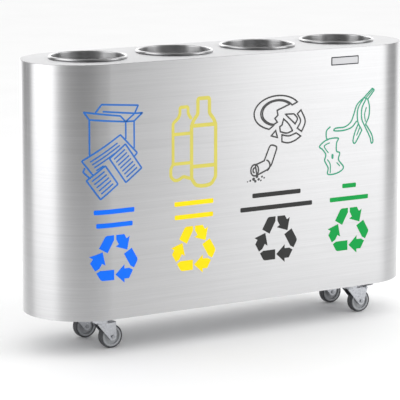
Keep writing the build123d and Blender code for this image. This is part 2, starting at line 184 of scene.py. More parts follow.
def foil_plate(centre, half, silver, dye, border):
    """Anodised aluminium foil: fine-grained pale silver with a dark dyed border round its edge."""
    soft_edge = 0.2 * MM
    material, tree, surface, where = start_material("Anodised aluminium foil plate", Metallic=1.0)
    moved = add(tree, "ShaderNodeVectorMath", {1: centre}, {0: where}, operation="SUBTRACT")
    folded = add(tree, "ShaderNodeVectorMath", None, {0: moved.outputs[0]}, operation="ABSOLUTE")
    past = add(tree, "ShaderNodeVectorMath", {1: half}, {0: folded.outputs[0]}, operation="SUBTRACT")
    sides = add(tree, "ShaderNodeSeparateXYZ", None, {0: past.outputs[0]})
    edge = add(tree, "ShaderNodeMath", None, {0: sides.outputs["X"], 1: sides.outputs["Z"]},
               operation="MAXIMUM")
    span = {"From Min": -border - soft_edge, "From Max": -border, "To Min": 0.3, "To Max": 0.7}
    dyed = add(tree, "ShaderNodeMapRange", span, {"Value": edge.outputs[0]})
    lines = grain(tree, where, (160, 160, 1.4))
    skin(tree, surface, dyed.outputs[0], silver, dye, lines, 0.34, 0.44, lines, 0.06)
    return material


def floor_paint(paint):
    """Matt white studio floor paint, with the faintest roller mottle."""
    material, tree, surface, where = start_material("Matt white floor paint", Roughness=0.9)
    cloud = add(tree, "ShaderNodeMapRange", NOISE_SPAN, {"Value": grain(tree, where, (400, 400, 400))})
    tint = add(tree, "ShaderNodeMix", {6: worn(paint, 0.98), 7: paint}, {0: cloud.outputs[0]},
               data_type="RGBA")
    tree.links.new(tint.outputs[2], surface.inputs["Base Color"])
    return material


# ---- shaping

def finish_piece(name, mesh, material, body, replaced=(), crease=32):
    """Shade a mesh smooth between its sharp edges, give it its finish and hang it on its body."""
    tidy = bmesh.new()
    tidy.from_mesh(mesh)
    bmesh.ops.remove_doubles(tidy, verts=tidy.verts, dist=0.002 * MM)
    bmesh.ops.recalc_face_normals(tidy, faces=tidy.faces)
    for edge in tidy.edges:
        edge.smooth = len(edge.link_faces) == 2 and edge.calc_face_angle(0) < math.radians(crease)
    for face in tidy.faces:
        face.smooth = True
    tidy.to_mesh(mesh)
    tidy.free()
    blank = in_scene("blank", mesh)
    weighted = blank.modifiers.new("Flat faces stay flat", "WEIGHTED_NORMAL")
    weighted.keep_sharp = True
    mesh = baked(blank)
    mesh.name = name
    mesh.materials.clear()
    mesh.materials.append(material)
    piece = in_scene(name, mesh)
    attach(piece, body)
    if replaced:
        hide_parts(*replaced)
    return piece


def mesh_of(name, verts, faces):
    """A new mesh of the given points and faces."""
    mesh = bpy.data.meshes.new(name)
    mesh.from_pydata(verts, [], faces)
    return mesh


def in_scene(name, data):
    """A new object in the scene that shows a mesh, curve, lamp or camera."""
    thing = bpy.data.objects.new(name, data)
    bpy.context.scene.collection.objects.link(thing)
    return thing


def baked(thing):
    """The plain mesh that an object's modifiers or curve give; the object itself is removed."""
    evaluated = thing.evaluated_get(bpy.context.evaluated_depsgraph_get())
    mesh = bpy.data.meshes.new_from_object(evaluated)
    bpy.data.objects.remove(thing)
    return mesh


def bevelled(mesh, width):
    """Round every edge that turns by 30 degrees or more."""
    blank = in_scene("blank", mesh)
    bevel = blank.modifiers.new("Edges", "BEVEL")
    bevel.width = width
    bevel.segments = 2
    bevel.limit_method = "ANGLE"
    bevel.angle_limit = math.radians(30)
    bevel.use_clamp_overlap = True
    return baked(blank)


def lathe(name, profile, centre, axis, steps=128):
    """Turn a closed (radius, height) outline about the Z or Y axis through a centre."""
    verts = []
    faces = []
    count = len(profile)
    for turn in range(steps):
        angle = 2 * math.pi * turn / steps
        for radius, height in profile:
            a = radius * math.cos(angle)
            b = radius * math.sin(angle)
            offset = (a, b, height) if axis == "Z" else (a, height, b)
            verts.append(Vector(centre) + Vector(offset))
        following = (turn + 1) % steps
        for i in range(count):
            j = (i + 1) % count
            if profile[i][0] < 1e-6 and profile[j][0] < 1e-6:
                continue
            faces.append((turn * count + i, turn * count + j, following * count + j, following * count + i))
    return mesh_of(name, verts, faces)


def mirrored(side):
    """Close a (radius, height) outline with its mirror image below."""
    return side + [(radius, -height) for radius, height in reversed(side)]


def arc(cx, cy, radius, start, end, steps, flat=1.0):
    """Points of an arc in degrees, squashed by flat in its second coordinate."""
    turns = [math.radians(start + (end - start) * i / steps) for i in range(steps + 1)]
    return [(cx + radius * math.cos(t), cy + flat * radius * math.sin(t)) for t in turns]


def ribbon_wall(name, line, thickness, bottom, top, closed=False):
    """A sheet wall that follows a plan line of (point, outward normal) pairs."""
    verts = []
    faces = []
    for point, normal in line:
        inner = point - normal * thickness
        for place in (point, inner):
            verts.append((place.x, place.y, bottom))
            verts.append((place.x, place.y, top))
    last = len(line) - 1
    for i in range(last + 1 if closed else last):
        a = 4 * i
        b = 4 * ((i + 1) % len(line))
        faces += [(a, b, b + 1, a + 1), (a + 2, a + 3, b + 3, b + 2)]
        faces += [(a + 1, b + 1, b + 3, a + 3), (a, a + 2, b + 2, b)]
    if not closed:
        faces += [(0, 1, 3, 2), (4 * last, 4 * last + 2, 4 * last + 3, 4 * last + 1)]
    return mesh_of(name, verts, faces)


class Cabinet:
    """The plan of the cabinet, read from the CAD shell."""
    low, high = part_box("front_shell")
    radius = -low.y
    straight = high.x - radius
    top = high.z
    bottom = low.z

    @classmethod
    def whole_line(cls, inset=0.0):
        """Closed plan line of the cabinet, moved inwards."""
        front = cls.half_line(-1, 0)
        rear = cls.half_line(1, 0)
        return [(point - normal * inset, normal) for point, normal in front + rear[-2:0:-1]]

    @classmethod
    def half_line(cls, side, gap, steps=56):
        """Plan line of one shell half: end, long wall, end; side is -1 at the front and 1 at the rear."""
        short = math.asin(gap / cls.radius)
        angles = [short + (math.pi / 2 - short) * i / steps for i in range(steps + 1)]
        line = []
        for t in angles:
            normal = Vector((-math.cos(t), side * math.sin(t), 0))
            line.append((Vector((-cls.straight, 0, 0)) + normal * cls.radius, normal))
        for t in reversed(angles):
            normal = Vector((math.cos(t), side * math.sin(t), 0))
            line.append((Vector((cls.straight, 0, 0)) + normal * cls.radius, normal))
        return line

    @classmethod
    def on_front(cls, along, height, lift):
        """A point on the front, measured along the sheet from the middle, and lifted off it."""
        over = max(0.0, abs(along) - cls.straight)
        turn = over / cls.radius
        reach = cls.radius + lift
        x = math.copysign(min(abs(along), cls.straight) + reach * math.sin(turn), along)
        return Vector((x, -reach * math.cos(turn), height))


# ---- line drawing

def resampled(points, step):
    """The same line with extra points, so that none are much further apart than the step."""
    out = [points[0]]
    for a, b in zip(points, points[1:]):
        pieces = max(1, int(math.dist(a, b) / step))
        for i in range(1, pieces + 1):
            out.append((a[0] + (b[0] - a[0]) * i / pieces, a[1] + (b[1] - a[1]) * i / pieces))
    return out


def bow(points, steps=8, closed=False):
    """A smooth line through the points."""
    count = len(points)
    out = []
    spans = count if closed else count - 1
    for i in range(spans):
        if closed:
            p = [points[(i + k) % count] for k in (-1, 0, 1, 2)]
        else:
            p = [points[min(max(i + k, 0), count - 1)] for k in (-1, 0, 1, 2)]
        for s in range(steps):
            t = s / steps
            weights = (-t ** 3 + 2 * t ** 2 - t, 3 * t ** 3 - 5 * t ** 2 + 2, -3 * t ** 3 + 4 * t ** 2 + t,
                       t ** 3 - t ** 2)
            out.append(tuple(sum(w * q[axis] for w, q in zip(weights, p)) / 2 for axis in (0, 1)))
    return out if closed else out + [points[-1]]


def bent(points, radius, closed=False):
    """Straight runs with every corner rounded, using up at most a set share of each run."""
    longest = 0.45
    count = len(points)
    out = []
    for i, here in enumerate(points):
        if not closed and i in (0, count - 1):
            out.append(here)
            continue
        before = points[i - 1]
        after = points[(i + 1) % count]
        cut = min(radius, longest * math.dist(here, before), longest * math.dist(here, after))
        a = Vector(here) + (Vector(before) - Vector(here)).normalized() * cut
        b = Vector(here) + (Vector(after) - Vector(here)).normalized() * cut
        for t in (0, 0.25, 0.5, 0.75, 1):
            place = a * (1 - t) ** 2 + Vector(here) * 2 * t * (1 - t) + b * t * t
            out.append((place.x, place.y))
    return out


def stroke_sections(points, width, closed):
    """Centre, direction and half width at every step of a line, with round ends."""
    step_mm = 5.0
    sharpest_mitre = 0.6
    line = resampled(points + points[:1] if closed else points, step_mm)
    if closed:
        line = line[:-1]
    count = len(line)
    sections = []
    for i, here in enumerate(line):
        before = Vector(line[i - 1] if closed or i else here)
        after = Vector(line[(i + 1) % count] if closed or i < count - 1 else here)
        into = (Vector(here) - before).normalized()
        away = (after - Vector(here)).normalized()
        direction = (into + away).normalized()
        lean = direction.dot(away if away.length else into)
        sections.append((Vector(here), direction, width / 2 / max(lean, sharpest_mitre)))
    if closed:
        return sections
    half = width / 2
    first, direction, _ = sections[0]
    last, final, _ = sections[-1]
    steps = [math.radians(a) for a in (88, 66, 44, 22)]
    head = [(first - direction * half * math.sin(t), direction, half * math.cos(t)) for t in steps]
    tail = [(last + final * half * math.sin(t), final, half * math.cos(t)) for t in reversed(steps)]
    return head + sections + tail


def film(name, strokes, centre, film_mm):
    """Lines of (points, width, closed) as thin film on the front, in millimetres about a centre.
    Lines drawn one after another differ a little in thickness, so that no two share a plane at a crossing."""
    back = 0.02 * MM
    thicker = 0.004
    grades = 12
    verts = []
    faces = []
    for order, (points, width, closed) in enumerate(strokes):
        sections = stroke_sections(points, width, closed)
        lift = (film_mm + thicker * (order % grades)) * MM
        start = len(verts)
        for place, direction, half in sections:
            side = Vector((-direction.y, direction.x)) * half
            for edge in (place + side, place - side):
                for height in (back, lift):
                    verts.append(Cabinet.on_front(centre[0] + edge.x * MM, centre[1] + edge.y * MM, height))
        count = len(sections)
        for i in range(count if closed else count - 1):
            a = start + 4 * i
            b = start + 4 * ((i + 1) % count)
            faces += [(a + 1, a + 3, b + 3, b + 1), (a, b, b + 2, a + 2)]
            faces += [(a, a + 1, b + 1, b), (a + 2, b + 2, b + 3, a + 3)]
        if not closed:
            end = start + 4 * (count - 1)
            faces += [(start, start + 2, start + 3, start + 1), (end, end + 1, end + 3, end + 2)]
    return mesh_of(name, verts, faces)


def leaf(centre, size, turn, rows, width):
    """A sheet of paper: its outline and rows of print drawn as plain lines."""
    across, tall = size
    spin = Matrix.Rotation(math.radians(turn), 2)

    def at(x, z):
        place = Vector(centre) + spin @ Vector((x, z))
        return (place.x, place.y)

    corners = [at(x * across / 2, z * tall / 2) for x, z in ((-1, -1), (1, -1), (1, 1), (-1, 1))]
    lines = [(bent(corners, 3, True), width, True)]
    for row in range(rows):
        z = tall * (0.5 - (row + 1) / (rows + 1))
        lines.append(([at(-0.31 * across, z), at(0.31 * across, z)], width * 0.9, False))
    return lines


def paper_picture():
    """An open carton behind three printed sheets."""
    w = 5.2
    lines = [
        (bent([(-91, 118), (-75, 96), (40, 84), (22, 102)], 2, True), w, True),
        ([(-75, 96), (-75, -9)], w, False),
        ([(40, 84), (40, 35)], w, False),
        ([(68, 84), (68, 6)], w, False),
        (bent([(-56, 117), (-38, 139), (82, 129), (70, 106)], 2), w, False),
        ([(-33, 118), (70, 106)], w, False),
        (bent([(70, 106), (96, 106), (68, 84), (40, 84)], 2, True), w, True),
        (bent([(-65, -66), (-98, -24), (22, 47), (78, -10), (70, -18)], 3), w, False),
        (bent([(-90, -46), (-94, -56), (-76, -74), (-66, -68)], 2), w, False),
    ]
    for row in range(4):
        start = (-72 + 6 * row, -26 - 8.5 * row)
        length = (96, 98, 72, 22)[row]
        lines.append(([start, (start[0] + length * 0.86, start[1] + length * 0.51)], w * 0.85, False))
    lines += leaf((39, -38), (66, 92), 36, 7, w)
    lines += leaf((-36, -89), (70, 70), 36, 5, w)
    return lines


def bottle_picture():
    """A round bottle in front of a smaller one with a stepped foot."""
    wide = 11.5
    narrow = 10.0
    half = 42
    side = [(20, 134), (20, 88), (35, 70), (half, 54), (half, -104), (28, -124), (10, -128)]
    front = [(36 + x, z) for x, z in side] + [(36 - x, z) for x, z in reversed(side)]
    behind = [(-9, 78), (-18, 92), (-18, 112), (-46, 112), (-46, 92), (-52, 80), (-70, 66), (-70, -56),
              (-78, -68), (-78, -92), (-66, -104), (-52, -104), (-34, -94), (-18, -100), (-9, -102)]
    lines = [(bent(behind, 6), narrow, False)]
    lines += [([(-68, z), (-9, z)], narrow, False) for z in (33, -55)]
    lines.append((bent(front, 7, True), wide, True))
    lines += [([(36 - half, z), (36 + half, z)], wide, False) for z in (54, -68)]
    return lines


def waste_picture():
    """A broken plate and a stubbed-out cigarette end with its ash."""
    w = 5.0
    lines = [
        (arc(2, 71, 85, 32, 249, 24, 0.61) + arc(2, 71, 61, 257, 30, 24, 0.64), w, True),
        (arc(2, 71, 55, 38, 255, 24, 0.66) + [(1, 42), (-8, 54), (3, 63), (0, 78)], w, True),
        (bow([(87, 73), (103, 38), (90, 7)]) + bow([(74, 18), (86, 40), (74, 62)]), w, True),
        (bow([(87, -7), (65, -19), (40, -24), (18, -19)]) + bow([(18, 2), (44, -3), (70, 4)]), w, True),
        ([(30, 64)] + bow([(61, 63), (74, 48), (66, 32)]), w, True),
        (bow([(24, 50), (42, 34), (57, 12)]) + bow([(57, 12), (36, 6), (12, 12)]) + [(10, 27), (18, 32)],
         w, True),
        ([(-21, 2), (-5, 17), (2, -5)], w, True),
        (bent([(-46, -72), (-24, -24), (2, -32), (-20, -88), (-34, -100)], 10), w, False),
        (bent([(-46, -72), (-78, -82), (-72, -114), (-34, -100)], 5), w, False),
        (arc(-42, -87, 17, -62, 70, 8), w, False),
        (arc(-80, -98, 14, 0, 360, 14, 1.25)[:-1], w, True),
        (arc(-80, -98, 6, 20, 250, 8, 1.25), w, False),
    ]
    ash = [(-72, -118, 9), (-84, -125, 10), (-66, -127, 8), (-96, -129, 6), (-54, -120, 6), (-58, -131, 5),
           (-46, -124, 5), (-78, -132, 8), (-106, -131, 4)]
    for x, z, size in ash:
        lines.append(([(x, z), (x + 0.6, z + 0.4)], size, False))
    return lines


def food_picture():
    """A banana skin hung by its stalk and an apple core with one seed."""
    w = 4.6
    thin = 3.8
    lines = [
        (bent([(55, 94), (86, 121), (94, 115), (69, 88)], 3, True), w, True),
        ([(64, 94), (88, 116)], thin, False),
        (bow([(55, 94), (29, 74), (17, 45), (5, 21), (-18, 8), (-49, 7), (-58, 1), (-48, -2), (-18, -2),
              (9, 5), (27, 22)]), w, False),
        (bow([(52, 90), (34, 65), (30, 40), (34, 16), (46, -4)]), w, False),
        (bow([(62, 88), (48, 63), (46, 38), (50, 21), (63, -2), (79, -31), (85, -50), (91, -44), (85, -22),
              (67, 5), (63, 11), (74, 34), (76, 64), (69, 88)]), w, False),
        (bow([(64, 62), (58, 42), (61, 20)]), thin, False),
        (bow([(34, 13), (21, -14), (15, -38), (21, -46), (30, -36), (48, -7)]), w, False),
        (bow([(39, 0), (29, -21)]), thin, False),
    ]
    apple = [(-111, -46), (-95, -32), (-72, -24), (-41, -25), (-47, -39), (-47, -64), (-35, -71), (-39, -92),
             (-20, -117), (-37, -131), (-64, -136), (-80, -132), (-78, -114), (-91, -91), (-87, -73),
             (-99, -56)]
    lines += [
        (bow(apple, 6, True), w, True),
        (bow([(-81, -27), (-86, -18), (-85, 1), (-72, 12)]), w, False),
        (bow([(-74, -37), (-93, -46), (-78, -67)]), thin, False),
        (bow([(-80, -89), (-70, -105), (-70, -130)]), thin, False),
        (bow([(-45, -101), (-35, -111)]), thin, False),
        (bow([(-62, -76), (-62, -84)]), 8.0, False),
    ]
    return lines


PICTURES = {"paper": paper_picture, "bottle": bottle_picture, "waste": waste_picture, "food": food_picture}


# ---- sizes and colours a user may change

def size(label, text, millimetres):
    """A length the user may change, given in millimetres."""
    return FloatProperty(name=label, description=text, default=millimetres * MM, min=0, precision=5,
                         unit="LENGTH")


def colour(label, text, value):
    """A colour the user may change, given as sRGB hex."""
    return FloatVectorProperty(name=label, description=text, default=linear(value), size=4, min=0, max=1,
                               subtype="COLOR")


def strength(label, text, watts):
    """A lamp's power the user may change."""
    return FloatProperty(name=label, description=text, default=watts, min=0, unit="POWER")


class StationSheet(bpy.types.PropertyGroup):
    wall_sheet: size("Wall sheet", "Thickness of the cabinet wall", 1.2)
    top_sheet: size("Top sheet", "Thickness of the top plate", 1.5)
    pail_sheet: size("Pail sheet", "Thickness of the pail wall", 0.8)
    bead: size("Rim bead", "Diameter of the pail's rolled rim", 8.0)
    corner: size("Pail corner", "Inside radius where the pail's wall meets its floor", 6.0)
    edge: size("Broken edge", "Rounding along the cut edges of the wall sheet", 0.35)
    seam: size("Seam", "Gap between the two halves of the cabinet wall", 0.4)
    hole_clearance: size("Opening clearance", "Space between a pail's wall and the edge of its opening", 2.2)
    steel: colour("Wall steel", "Reflectance of the brushed wall", "#D6D6D7")
    top_steel: colour("Top steel", "Reflectance of the brushed top", "#D2D2D3")
    pail_steel: colour("Pail steel", "Reflectance of the spun pails", "#CDCDCE")


class StationGraphics(bpy.types.PropertyGroup):
    film: size("Film", "Thickness of the printed vinyl", 0.2)
    picture_height: size("Picture height", "Height of the pictures' middle above the floor", 608.0)
    border_width: size("Plate border", "Width of the dark border round the blank plate", 3.2)
    foil: colour("Plate", "Silver of the blank plate", "#B9B9BB")
    border: colour("Plate border", "Dye of the blank plate's border", "#3C3D40")
    paper_picture: colour("Paper picture", "Ink of the paper picture", "#2F6FC0")
    bottle_picture: colour("Bottle picture", "Ink of the bottle picture", "#D2C85E")
    waste_picture: colour("Waste picture", "Ink of the waste picture", "#4A4A4A")
    food_picture: colour("Food picture", "Ink of the food picture", "#3C9A7A")
    paper_label: colour("Paper label", "Ink of the paper caption and symbol", "#006EF6")
    bottle_label: colour("Bottle label", "Ink of the bottle caption and symbol", "#FFE000")
    waste_label: colour("Waste label", "Ink of the waste caption and symbol", "#343434")
    food_label: colour("Food label", "Ink of the food caption and symbol", "#009A43")


class StationCasters(bpy.types.PropertyGroup):
    tread: size("Tyre thickness", "Thickness of the rubber tyre", 4.5)
    rim_depth: size("Rim depth", "Depth of the wheel's rim band", 7.0)
    web: size("Web", "Thickness of the wheel's web", 9.0)
    hub_radius: size("Hub radius", "Radius of the wheel's hub", 10.0)
    bore: size("Bore radius", "Radius of the hole for the axle", 4.08)
    bolt_offset: size("Bolt offset", "Distance of each bolt from the caster's axis, both ways", 24.0)
    head_across: size("Head width", "Bolt head, across its flats", 10.0)
    head_height: size("Head height", "Height of the bolt head", 4.2)
    nut_height: size("Nut height", "Height of the nut", 5.0)


class StationStage(bpy.types.PropertyGroup):
    paint: colour("Floor", "Colour of the studio floor", "#FAFAFA")
    key: strength("Right light", "Power of the wide light at the front right", 60.0)
    tent: FloatProperty(name="Light tent", default=1.0, min=0,
                        description="Brightness of the graded tent that the steel reflects")
    sky: FloatProperty(name="Sky", default=1.06, min=0,
                       description="Brightness of the even light from all round")


class StationSettings(bpy.types.PropertyGroup):
    sheet: PointerProperty(type=StationSheet, name="Sheet metal")
    graphics: PointerProperty(type=StationGraphics, name="Graphics")
    casters: PointerProperty(type=StationCasters, name="Casters")
    stage: PointerProperty(type=StationStage, name="Stage")


# ---- pieces

def dress(material, *names):
    """Give CAD nodes that keep their shape a finish."""
    for name in names:
        node = NODES[name]
        if not node.material_slots:
            node.data.materials.append(material)
        for place in node.material_slots:
            place.material = material


def middle(node):
    """The middle of a CAD node's box."""
    low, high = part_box(node)
    return (low + high) / 2


class STATION_OT_walls(bpy.types.Operator):
    """Build the two halves of the brushed cabinet wall"""
    bl_idname = "station.walls"
    bl_label = "Cabinet Walls"

    def execute(self, context):
        sheet = context.scene.station.sheet
        steel = wall_stainless(sheet.steel)
        for node, side in (("front_shell", -1), ("rear_shell", 1)):
            line = Cabinet.half_line(side, sheet.seam / 2)
            wall = ribbon_wall(node, line, sheet.wall_sheet, Cabinet.bottom, Cabinet.top)
            wall = bevelled(wall, sheet.edge)
            finish_piece(node.replace("shell", "wall"), wall, steel, "cabinet",
                         (node,), 12)
        return {"FINISHED"}


class STATION_OT_top(bpy.types.Operator):
    """Build the flat top with its four round openings and its turned-down flange"""
    bl_idname = "station.top"
    bl_label = "Top Plate"

    def execute(self, context):
        sheet = context.scene.station.sheet
        low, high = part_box("top_plate")
        drawing = bpy.data.curves.new("top drawing", "CURVE")
        drawing.dimensions = "2D"
        drawing.fill_mode = "BOTH"
        drawing.bevel_depth = 0.4 * sheet.top_sheet
        drawing.bevel_resolution = 2
        drawing.offset = -drawing.bevel_depth
        drawing.extrude = sheet.top_sheet / 2 - drawing.bevel_depth
        outlines = [[point for point, _ in Cabinet.whole_line()]]
        for index in PAILS:
            pail_low, pail_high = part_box("pail_%d" % index)
            centre = (pail_low + pail_high) / 2
            opening = (pail_high.x - pail_low.x) / 2 - sheet.bead + sheet.pail_sheet + sheet.hole_clearance
            outlines.append([Vector(point) for point in arc(centre.x, 0, opening, 0, 360, 120)[:-1]])
        for outline in outlines:
            spline = drawing.splines.new("POLY")
            spline.points.add(len(outline) - 1)
            for point, place in zip(spline.points, outline):
                point.co = (place[0], place[1], 0, 1)
            spline.use_cyclic_u = True
        mesh = baked(in_scene("top drawing", drawing))
        mesh.transform(Matrix.Translation((0, 0, high.z - sheet.top_sheet / 2)))
        slack = 0.05 * MM
        inside_wall = Cabinet.whole_line(sheet.wall_sheet + slack)
        flange = ribbon_wall("flange", inside_wall, sheet.top_sheet, low.z, high.z - sheet.top_sheet, True)
        joined = bmesh.new()
        joined.from_mesh(mesh)
        joined.from_mesh(flange)
        joined.to_mesh(mesh)
        joined.free()
        finish_piece("top_sheet", mesh, top_stainless(sheet.top_steel), "cabinet",
                     ("top_plate",), 12)
        return {"FINISHED"}


class STATION_OT_pails(bpy.types.Operator):
    """Spin the four pails with their rolled rims, and finish the wires inside the rims"""
    bl_idname = "station.pails"
    bl_label = "Pails"

    def execute(self, context):
        sheet = context.scene.station.sheet
        steel = pail_stainless(sheet.pail_steel)
        bead = sheet.bead / 2
        thick = sheet.pail_sheet
        for index in PAILS:
            low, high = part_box("pail_%d" % index)
            bore = (high.x - low.x) / 2 - sheet.bead
            roll = (bore + bead, high.z - bead)
            corner = sheet.corner
            bend = (bore - corner, low.z + corner + thick)
            outline = [(0, low.z)] + arc(*bend, corner + thick, -90, 0, 8)
            outline += arc(*roll, bead - thick, 180, -144, 30)
            outline += arc(*roll, bead, -144, 180, 40)
            outline += arc(*bend, corner, 0, -90, 8) + [(0, low.z + thick)]
            centre = ((low.x + high.x) / 2, 0, 0)
            finish_piece("pail_sheet_%d" % index, lathe("pail", outline, centre, "Z"), steel,
                         "pail_body_%d" % index, ("pail_%d" % index,))
        wire = galvanised("Drawn mild-steel wire", "#B9BABD", "#A6A7AA", 0.3)
        dress(wire, *["rim_wire_%d" % index for index in PAILS])
        return {"FINISHED"}


class STATION_OT_graphics(bpy.types.Operator):
    """Draw the four line pictures on the front and colour the captions and symbols"""
    bl_idname = "station.graphics"
    bl_label = "Front Graphics"

    def execute(self, context):
        graphics = context.scene.station.graphics
        for stream in STREAMS:
            centre = (middle("label_" + stream).x, graphics.picture_height)
            drawing = film("picture", PICTURES[stream](), centre, graphics.film / MM)
            ink = vinyl("Printed PVC film, %s picture" % stream, getattr(graphics, stream + "_picture"))
            finish_piece("line_art_" + stream, drawing, ink, "cabinet",
                         ("picture_" + stream,))
            label = vinyl("Cut PVC film, %s label" % stream, getattr(graphics, stream + "_label"))
            dress(label, "label_" + stream)
        return {"FINISHED"}


class STATION_OT_plate(bpy.types.Operator):
    """Build the small blank plate near the top right"""
    bl_idname = "station.plate"
    bl_label = "Blank Plate"

    def execute(self, context):
        low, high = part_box("nameplate")
        centre = (low + high) / 2
        half = (high - low) / 2
        corner = 2.4 * MM
        groove = low.y + 0.2 * MM

        def outline(inset):
            x = half.x - inset
            z = half.z - inset
            return bent([(-x, -z), (x, -z), (x, z), (-x, z)], corner, True)

        verts = []
        faces = []
        loops = ((0, high.y), (0, low.y + 0.3 * MM), (0.3 * MM, low.y), (1.4 * MM, low.y), (1.6 * MM, groove),
                 (2.3 * MM, groove), (2.5 * MM, low.y), (0.25 * half.z + 2.5 * MM, low.y))
        for inset, y in loops:
            verts += [(centre.x + x, y, centre.z + z) for x, z in outline(inset)]
        count = len(verts) // len(loops)
        for ring in range(len(loops) - 1):
            for i in range(count):
                j = (i + 1) % count
                a = ring * count
                b = a + count
                faces.append((a + i, a + j, b + j, b + i))
        faces.append(tuple(range(count)))
        faces.append(tuple(range(len(verts) - count, len(verts))))
        graphics = context.scene.station.graphics
        foil = foil_plate(centre, half, graphics.foil, graphics.border, graphics.border_width)
        finish_piece("blank_plate", mesh_of("plate", verts, faces), foil, "cabinet",
                     ("nameplate",), 12)
        return {"FINISHED"}


class STATION_OT_wheels(bpy.types.Operator):
    """Turn the four wheels, each a moulded core with a rubber tyre"""
    bl_idname = "station.wheels"
    bl_label = "Wheels"

    def execute(self, context):
        casters = context.scene.station.casters
        core_finish = plastic("Moulded polypropylene wheel core", "#A9ABAE", "#9FA1A4", 0.5, 0.9, 0.05, 1.49)
        tyre_finish = plastic("Thermoplastic rubber tyre", "#4B4C4F", "#434447", 0.72, 0.7, 0.08, 1.52)
        for index in CASTERS:
            low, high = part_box("tyre_%d" % index)
            core_low, core_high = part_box("wheel_core_%d" % index)
            centre = (low + high) / 2
            outer = (high.z - low.z) / 2
            half = (high.y - low.y) / 2
            hub = (core_high.y - core_low.y) / 2
            rim = outer - casters.tread
            web = casters.web / 2
            inner = rim - casters.rim_depth
            face = half - 1 * MM
            seat = half - 2.4 * MM
            side = [(casters.bore, hub), (casters.hub_radius - 0.4 * MM, hub), (casters.hub_radius, web),
                    (inner, web), (inner + 0.8 * MM, face), (rim - 1.6 * MM, face), (rim - 0.9 * MM, seat),
                    (rim, seat)]
            core = bent(mirrored(side), 0.7 * MM, True)
            finish_piece("wheel_hub_%d" % index, lathe("core", core, centre, "Y", 72), core_finish,
                         "wheel_%d" % index, ("wheel_core_%d" % index,))
            side = [(rim, half - 1.6 * MM), (rim + 0.8 * MM, half - 0.2 * MM), (rim + 2.4 * MM, half),
                    (outer - 0.5 * MM, half - 3 * MM), (outer, half - 6 * MM)]
            tyre = bent(mirrored(side), 1.4 * MM, True)
            finish_piece("wheel_tyre_%d" % index, lathe("tyre", tyre, centre, "Y", 96), tyre_finish,
                         "wheel_%d" % index, ("tyre_%d" % index,))
        return {"FINISHED"}


class STATION_OT_casters(bpy.types.Operator):
    """Finish the forks, plates, axles, king pins and brake pedals"""
    bl_idname = "station.casters"
    bl_label = "Casters"

    def execute(self, context):
        zinc = galvanised("Zinc-plated pressed steel", "#C9CBCF", "#AEB0B5", 0.26)
        bolt = galvanised("Zinc-plated bolt steel", "#B4B6BA", "#989A9E", 0.3)
        grip = plastic("Glass-filled nylon pedal", "#26272A", "#1E1F21", 0.5, 0.9, 0.08, 1.53)
        dress(bolt, "kingpins")
        for index in CASTERS:
            dress(zinc, "fork_%d" % index, "mount_plate_%d" % index)
            dress(bolt, "axle_%d" % index)
        for index in BRAKED:
            dress(zinc, "brake_lever_%d" % index)
            dress(grip, "pedal_pad_%d" % index)
            dress(bolt, "brake_pin_%d" % index)
        return {"FINISHED"}


class STATION_OT_inside(bpy.types.Operator):
    """Finish the plain steel inside and under the cabinet"""
    bl_idname = "station.inside"
    bl_label = "Inner Steel"

    def execute(self, context):
        steel = galvanised("Cold-rolled inner sheet", "#BFC0C2", "#ABACAF", 0.38)
        dress(steel, "seam_strap_left", "seam_strap_right", "base_pan", "caster_rail_left",
              "caster_rail_right", "divider_frame_1", "divider_frame_2", "divider_frame_3")
        return {"FINISHED"}


